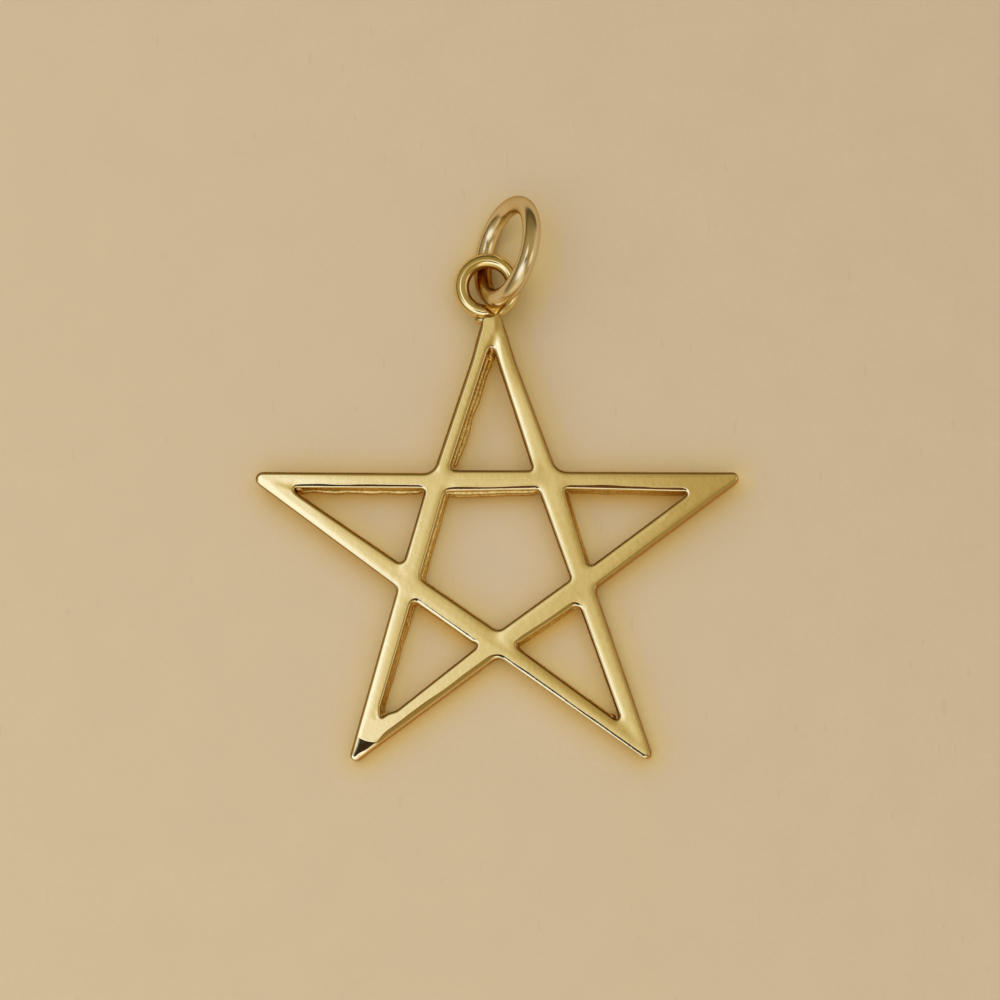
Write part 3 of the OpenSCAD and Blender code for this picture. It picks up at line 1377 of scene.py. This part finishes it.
@dataclass
class JumpRing:
    """A ring of round wire whose two ends are closed against each other.

    Sizes are in millimetres, and places round the ring in degrees from its raised side.
    """

    middle: Array
    axis: Array
    reach: float
    wire: float
    join_at: float = 190.0
    join_gap: float = 0.03
    end_round: float = 0.04
    shade_from: Pair = (188.0, 196.0)
    shade_to: Pair = (230.0, 255.0)
    rows: int = 560
    sides: int = 80

    @classmethod
    def of_node(cls, node: bpy.types.Object, mount: Mapping[str, Any]) -> "JumpRing":
        """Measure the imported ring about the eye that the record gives.

        Args:
            node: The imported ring.
            mount: The record's mount in its eye.

        Returns:
            The ring.
        """
        middle = np.array(mount["pos_m"]) / MM
        axis = -np.array(mount["axis"])
        axis /= np.linalg.norm(axis)
        off = vertices_of(node) / MM - middle
        along = off @ axis
        wire = float(np.abs(along).max()) * 2.0
        outer = float(np.linalg.norm(off - along[:, None] * axis, axis=1).max())
        return cls(middle, axis, outer - wire / 2.0, wire)

    def radial(self, turn: Array) -> Array:
        """Unit directions from its middle at places round it.

        Args:
            turn: Angles from its raised side.

        Returns:
            One direction for each angle.
        """
        level = np.cross(self.axis, [0.0, 0.0, 1.0])
        level /= np.linalg.norm(level)
        raised = np.cross(level, self.axis)
        return np.cos(turn)[:, None] * raised + np.sin(turn)[:, None] * level

    def middle_line(self, count: int) -> Array:
        """Places across and up round the middle of its wire."""
        return (self.middle + self.reach * self.radial(TURN / 4.0 - full_turn(count)))[:, :2]

    def build(self, material: bpy.types.Material) -> bpy.types.Object:
        """Make the piece: a round wire swept round the ring, with eased ends.

        Args:
            material: The piece's finish.

        Returns:
            The piece.
        """
        turn = np.linspace(0.0, TURN / 4.0, 5)
        start = (self.join_gap / 2.0 + self.end_round * (1.0 - np.sin(turn))) / self.reach
        size = 1.0 - self.end_round / (self.wire / 2.0) * (1.0 - np.cos(turn))
        body = np.linspace(start[0], TURN - start[0], self.rows)[1:-1]
        angle = np.concatenate([start[::-1], body, TURN - start]) + math.radians(self.join_at)
        size = self.wire / 2.0 * np.concatenate([size[::-1], np.ones(len(body)), size])[:, None]
        side = full_turn(self.sides)[None]
        radial = self.radial(angle)
        out, over = self.reach + size * np.cos(side), size * np.sin(side)
        places = self.middle + out[..., None] * radial[:, None] + over[..., None] * self.axis
        # Painted shade: the stretch past the join, inside the loop and low by the paper, is painted darker
        place = np.degrees(angle)[:, None] % 360.0
        shaded_stretch = rise(place, *self.shade_from) * (1.0 - rise(place, *self.shade_to))
        surface = Surface()
        numbers = surface.add_places(places * MM, 0.0, shaded_stretch)
        surface.add_grid(numbers)
        for row, ring in ((0, numbers[0]), (-1, numbers[-1][::-1])):
            surface.add_fan(ring, (self.middle + self.reach * radial[row]) * MM)
        return surface.made("jump_ring_wire", material)


@dataclass(frozen=True)
class Bit:
    """A small lump of metal: its flat place, how high its middle is, and its three radii."""

    across: float
    up: float
    out: float
    wide: float
    long: float
    tall: float


# Left by the casting in the openings' corners, and the solder beside the loop
BITS = (
    Bit(-0.22, 6.62, 0.62, 0.20, 0.34, 0.50),
    Bit(-0.14, 6.95, 0.80, 0.16, 0.22, 0.36),
    Bit(-4.10, -6.62, 0.80, 0.20, 0.15, 0.40),
    Bit(-10.62, -0.42, 0.70, 0.24, 0.15, 0.42),
    Bit(2.17, -0.62, 0.80, 0.13, 0.13, 0.36),
    Bit(7.55, -0.50, 0.70, 0.20, 0.14, 0.40),
    Bit(-6.20, -12.68, 0.70, 0.26, 0.24, 0.46),
    Bit(6.05, -12.80, 0.70, 0.24, 0.17, 0.42),
    Bit(-0.72, 8.60, 0.70, 0.42, 0.22, 0.42),
    Bit(0.24, 8.46, 0.68, 0.20, 0.24, 0.48),
)


@dataclass
class CastBits:
    """Small lumps that the casting and the solder left. Sizes are in millimetres."""

    lie: Lie
    rows: int = 25
    sides: int = 40
    rough: float = 0.08
    cast: float = 0.4
    seed: int = 5

    def build(self, material: bpy.types.Material) -> bpy.types.Object:
        """Make the piece: for each lump a sphere with three radii, made uneven by waves.

        The radius at a direction d is multiplied by 1 + rough sin(3 d . a) sin(3 d . b), with
        seeded directions a and b.

        Args:
            material: The piece's finish.

        Returns:
            The piece.
        """
        chance = np.random.default_rng(self.seed)
        surface = Surface()
        polar = np.linspace(0.0, TURN / 2.0, self.rows + 2)[1:-1, None]
        turn = full_turn(self.sides)[None]
        level = [np.sin(polar) * np.cos(turn), np.sin(polar) * np.sin(turn)]
        way = np.dstack([*level, np.cos(polar) + 0.0 * turn])
        for bit in BITS:
            ways = chance.standard_normal((2, 3))
            size = 1.0 + self.rough * np.sin(3.0 * way @ ways[0]) * np.sin(3.0 * way @ ways[1])
            middle = np.array([bit.across, bit.up, bit.out])
            radii = np.array([bit.wide, bit.long, bit.tall])
            places = self.lie.placed(middle + way * size[..., None] * radii)
            numbers = surface.add_places(places, self.cast)
            surface.add_grid(numbers)
            for ring, pole in ((numbers[0], 1.0), (numbers[-1][::-1], -1.0)):
                surface.add_fan(ring, self.lie.placed(middle + np.array([0.0, 0.0, pole * bit.tall])))
        return surface.made("cast_bits", material)


@dataclass(frozen=True)
class Glow:
    """Painted light: what the glow that one kind of edge bounces does to the paper's colour close to it.

    Attributes:
        colour: What the paper's colour is multiplied by.
        wide: Width of the glow, in millimetres.
        gain: What the share of the colour tends to.
        most: The most of it that is taken.
    """

    colour: Triple
    wide: float
    gain: float = 1.58
    most: float = 1.3

    def at(self, places: Array, edge: Array, length: Array) -> Array:
        """What the paper's colour is multiplied by at flat places.

        The sum of length exp(-(distance / wide) squared / 2) over the edge's places is divided
        by wide times the root of 2 pi, which makes it 1 on a long straight edge. Of a sum s
        the share gain (1 - exp(-s)) of the colour is taken.

        Args:
            places: Flat places.
            edge: Places of the edge.
            length: How much of the edge each of them stands for.

        Returns:
            A colour for each place.
        """
        def total(part: Array) -> Array:
            """The sums of a batch."""
            return np.exp(-far_squared(part, edge) / (2.0 * self.wide ** 2)) @ length

        share = self.gain * (1.0 - np.exp(-in_batches(total, places) / (math.sqrt(TURN) * self.wide)))
        return 1.0 + np.minimum(share, self.most)[:, None] * (np.array(self.colour) - 1.0)


@dataclass
class Table:
    """Paper on a table top: the plain floor under the charm. Sizes are in millimetres."""

    outlines: Sequence[Outline]
    wire: Array
    reach: float = 1200.0
    below: float = 0.01
    fine: float = 17.0
    spacing: float = 0.2
    # Painted light: warm bounce from the gold all round, below the bars and to their right
    all_round: Glow = Glow((1.10, 1.03, 0.73), 0.8)
    below_bars: Glow = Glow((1.15, 0.95, 0.50), 0.40)
    right_of_bars: Glow = Glow((1.24, 1.28, 1.18), 0.45)
    faces_down: Pair = (0.2, 0.7)
    faces_right: Pair = (0.2, 0.8)
    outer_below: float = 0.35
    outer_right: float = 0.7
    longest_step: float = 1.0

    def glow(self, places: Array) -> Array:
        """What the painted glow of the edges and the wires, light that the gold bounces, multiplies the
        paper's colour by.

        Args:
            places: Flat places.

        Returns:
            A colour for each place.
        """
        edge = np.vstack([outline.places for outline in self.outlines])
        inward = np.vstack([outline.inward for outline in self.outlines])
        length = np.full(len(edge), self.outlines[0].spacing)
        outer = np.arange(len(edge)) < len(self.outlines[0].places)
        down = rise(inward[:, 1], *self.faces_down) * np.where(outer, self.outer_below, 1.0)
        right = rise(-inward[:, 0], *self.faces_right) * np.where(outer, self.outer_right, 1.0)
        step = np.linalg.norm(self.wire - np.roll(self.wire, 1, axis=0), axis=1)
        step = np.where(step > self.longest_step, 0.0, step)
        lengths = np.concatenate([0.5 * length, step])
        glow = self.all_round.at(places, np.vstack([edge, self.wire]), lengths)
        glow = glow * self.below_bars.at(places, edge, length * down)
        return glow * self.right_of_bars.at(places, edge, length * right)

    def build(self) -> None:
        """Make the floor as one flat grid, fine under the charm."""
        at = np.concatenate([[-self.reach], np.arange(-self.fine, self.fine, self.spacing), [self.reach]])
        places = np.stack(np.meshgrid(at, at), axis=-1).reshape(-1, 2)
        rows = np.arange(at.size ** 2).reshape(at.size, at.size)
        quads = np.stack([rows[:-1, :-1], rows[:-1, 1:], rows[1:, 1:], rows[1:, :-1]], axis=-1)
        mesh = bpy.data.meshes.new("paper")
        flat = np.column_stack([places, np.full(len(places), -self.below)])
        mesh.from_pydata((flat * MM).tolist(), [], quads.reshape(-1, 4).tolist())
        colours = np.column_stack([self.glow(places), np.ones(len(places))])
        values = mesh.attributes.new(Mark.GLOW.value, "FLOAT_COLOR", "POINT")
        values.data.foreach_set("color", colours.astype(np.float32).ravel())
        mesh.materials.append(Paper().material())
        floor = linked("paper", mesh)


@dataclass(frozen=True)
class Zone:
    """A colour that the gold mirrors in one direction.

    Attributes:
        toward: What a direction's three parts are multiplied by and summed.
        start: The sum at which the zone starts.
        full: The sum at which it is full.
        colour: Its colour.
        upper: Whether it is only above the table.
    """

    toward: Triple
    start: float
    full: float
    colour: Triple
    upper: bool = False

    def over(self, tree: Tree, room: Signal, way: Sequence[Signal]) -> Signal:
        """The colours with this zone over them, by the direction's parts.

        Args:
            tree: The world's nodes.
            room: The colours so far.
            way: The direction's three parts.

        Returns:
            The colours with the zone.
        """
        across, up, out = (part * share for part, share in zip(way, self.toward))
        share = (across + up + out).step(self.start, self.full)
        if self.upper:
            share = share * way[2].step(-0.1, 0.1)
        return tree.mixed(share, room, rgba(self.colour))


# The dim room behind, to the right, and to the left and the front
ROOM = (
    Zone((0.0, 1.0, 0.0), 0.3, 0.95, (0.20, 0.15, 0.06)),
    Zone((1.0, 0.0, 0.0), 0.5, 1.0, (0.45, 0.36, 0.27)),
    Zone((-0.8, -0.6, 0.0), 0.35, 0.8, (0.40, 0.31, 0.16)),
)
# Bright cards high in front, low in front, low on the right and high on the right
CARDS = (
    Zone((0.05, -0.757, 0.65), 0.95, 0.985, (0.98, 0.88, 0.64)),
    Zone((0.0, -1.0, 0.0), 0.70, 0.95, (0.75, 0.66, 0.46), upper=True),
    Zone((1.0, 0.0, 0.0), 0.70, 0.95, (0.62, 0.53, 0.36), upper=True),
    Zone((0.80, -0.33, 0.50), 0.955, 0.99, (1.0, 0.95, 0.82)),
)
# Colours of the bright window overhead, by the share of the way to its left
WINDOW = (
    (0.0, (0.36, 0.26, 0.09)),
    (0.2, (0.44, 0.33, 0.13)),
    (0.45, (0.64, 0.55, 0.34)),
    (0.65, (0.77, 0.71, 0.54)),
    (0.8, (0.92, 0.90, 0.88)),
    (1.0, (1.10, 1.18, 1.45)),
)


@dataclass
class Studio:
    """Soft light from a bright left and front, a warm dim rest, and a key on the table."""

    key_from: Triple = (-0.30, 0.24, 0.92)
    key_far: float = 0.5
    key_wide: float = 0.26
    key_watts: float = 0.109
    key_colour: Triple = (1.0, 0.95, 0.86)
    front: Triple = (0.38, 0.30, 0.15)
    low: Triple = (0.04, 0.025, 0.01)
    low_share: float = 0.75
    low_out: Pair = (0.55, 0.15)
    low_front: Pair = (0.3, 0.8)
    window_at: float = 0.042
    window_slant: float = 0.3
    window_wide: float = 0.20
    window_back: Pair = (0.10, 0.31)
    window_out: Pair = (0.5, 0.72)
    window_right: Pair = (0.0, 0.15)
    corner_left: Pair = (-0.32, -0.48)
    corner_up: Pair = (-0.30, -0.05)
    shade_across: tuple[Pair, Pair] = ((-0.29, -0.26), (0.5, 0.45))
    shade_up: tuple[Pair, Pair] = ((-0.37, -0.34), (-0.09, -0.12))
    shade_out: Pair = (0.5, 0.6)
    brown_from: Pair = (-0.15, -0.10)
    amber_from: Pair = (-0.05, 0.05)
    black: Triple = (0.03, 0.016, 0.006)
    brown: Triple = (0.12, 0.045, 0.012)
    amber: Triple = (0.30, 0.20, 0.07)
    soft_colour: Triple = (0.50, 0.457, 0.395)
    soft_from: Triple = (-0.14, 0.12, 0.98)
    soft_span: Pair = (0.35, 0.98)
    overhead: float = 2.33
    around: float = 0.50
    backdrop: Triple = (0.72, 0.66, 0.56)

    def mirrored(self, tree: Tree, way: Sequence[Signal]) -> Signal:
        """What the gold mirrors: the room, the window overhead, the cards and a dark shade.

        Args:
            tree: The world's nodes.
            way: The direction's three parts.

        Returns:
            The colour in that direction.
        """
        x, y, z = way
        room = rgba(self.front)
        for zone in ROOM:
            room = zone.over(tree, room, way)
        low = z.step(*self.low_out) * (1.0 - (0.0 - y).step(*self.low_front))
        room = tree.mixed(low * self.low_share, room, rgba(self.low))
        leftward = (self.window_at - x - self.window_slant * y) / self.window_wide
        window = tree.node("ShaderNodeValToRGB", {"stops": WINDOW}, (leftward,))
        there = (1.0 - y.step(*self.window_back)) * z.step(*self.window_out)
        there = there * (1.0 - x.step(*self.window_right))
        there = there * (1.0 - x.step(*self.corner_left) * y.step(*self.corner_up))
        room = tree.mixed(there, room, window)
        for zone in CARDS:
            room = zone.over(tree, room, way)
        shade = x.between(*self.shade_across) * y.between(*self.shade_up)
        dark = tree.mixed(x.step(*self.brown_from), rgba(self.black), rgba(self.brown))
        dark = tree.mixed(x.step(*self.amber_from), dark, rgba(self.amber))
        return tree.mixed(shade * z.step(*self.shade_out), room, dark)

    def build(self) -> None:
        """Set up the world and the key light, which the metal doesn't mirror."""
        world = bpy.data.worlds.new("studio")
        bpy.context.scene.world = world
        tree = Tree(world)
        way = tree.parts(tree.node("ShaderNodeTexCoord", output="Generated"))
        seen = tree.node("ShaderNodeLightPath", output="Is Camera Ray")
        matt = tree.node("ShaderNodeLightPath", output="Is Diffuse Ray")
        colour = tree.mixed(seen, self.mirrored(tree, way), rgba(self.backdrop))
        across, up, out = (part * share for part, share in zip(way, self.soft_from))
        overhead = (out + across + up).step(*self.soft_span) * self.overhead + self.around
        tree.node("ShaderNodeOutputWorld", {}, {"Surface": tree.node("ShaderNodeBackground", {}, {
            "Color": tree.mixed(matt, colour, rgba(self.soft_colour)),
            "Strength": 1.0 + (overhead - 1.0) * matt,
        })})
        lamp = bpy.data.lights.new("key", "AREA")
        lamp.shape = "DISK"
        lamp.size = self.key_wide
        lamp.energy = self.key_watts
        lamp.color = self.key_colour
        key = linked("key", lamp)
        toward = Vector(self.key_from).normalized()
        key.location = toward * self.key_far
        key.rotation_euler = toward.to_track_quat("Z", "Y").to_euler()
        key.visible_glossy = False


@dataclass
class View:
    """The camera: nearly overhead, a little from the right and from below the star."""

    aim: Triple = (0.0989, -1.0224, 0.0073)
    from_right: float = 31.812
    above: float = 80.5
    roll: float = 0.188
    far: float = 200.0
    pixels: float = 1000.0
    pixels_in_mm: float = 18.58
    sensor: float = 36.0

    def build(self) -> None:
        """Set up the camera and make it the scene's."""
        turn, rise_angle = math.radians(self.from_right), math.radians(self.above)
        back = Vector((
            math.cos(rise_angle) * math.sin(turn),
            -math.cos(rise_angle) * math.cos(turn),
            math.sin(rise_angle),
        ))
        roll = math.radians(self.roll)
        right = Vector((math.sin(roll), math.cos(roll), 0.0)).cross(back).normalized()
        up = back.cross(right)
        lens = bpy.data.cameras.new("camera")
        lens.sensor_width = self.sensor
        lens.lens = self.sensor * self.far / (self.pixels / self.pixels_in_mm)
        lens.clip_start = 0.001
        camera = linked("camera", lens)
        place = (Vector(self.aim) + back * self.far) * MM
        turned = Matrix((right, up, back)).transposed()
        camera.matrix_world = Matrix.Translation(place) @ turned.to_4x4()
        bpy.context.scene.camera = camera


def settle(piece: bpy.types.Object, node: str | None = None) -> None:
    """Let a piece ride on the charm and the node that it stands for.

    Args:
        piece: The piece.
        node: The node that it stands for, if there is one.
    """
    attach(piece, ONE_BODY)
    if node:
        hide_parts(node)


def main() -> None:
    """Build the charm's pieces in order, then the table, the light and the camera."""
    logging.basicConfig(level=logging.INFO, format="%(message)s")
    bpy.context.scene.view_settings.view_transform = "Standard"
    mounts = {mount["name"]: mount for mount in frame["record"]["mounts"]}
    lie = Lie.of_back_face(mounts["back_face"])
    star = frame["nodes"]["star"]
    _, top, thick = lie.flat(vertices_of(star).astype(float)).max(axis=0).tolist()
    loop = HangLoop.at_top(lie, top, thick / 2.0)
    plate = StarPlate(lie, loop.middle, thick)
    plate.take_outlines(back_outlines(star, lie))
    settle(plate.build(YELLOW_GOLD.material()), "star")
    settle(loop.build(LOOP_GOLD.material()))
    settle(CastBits(lie).build(CAST_GOLD.material()))
    ring = JumpRing.of_node(frame["nodes"]["jump_ring"], mounts["jump_ring_eye"])
    settle(ring.build(PALE_GOLD.material()), "jump_ring")
    wires = np.vstack([piece.middle_line(WIRE_PLACES) for piece in (loop, ring)])
    Table(plate.outlines, wires).build()
    Studio().build()
    View().build()


if __name__ == "__main__":
    main()
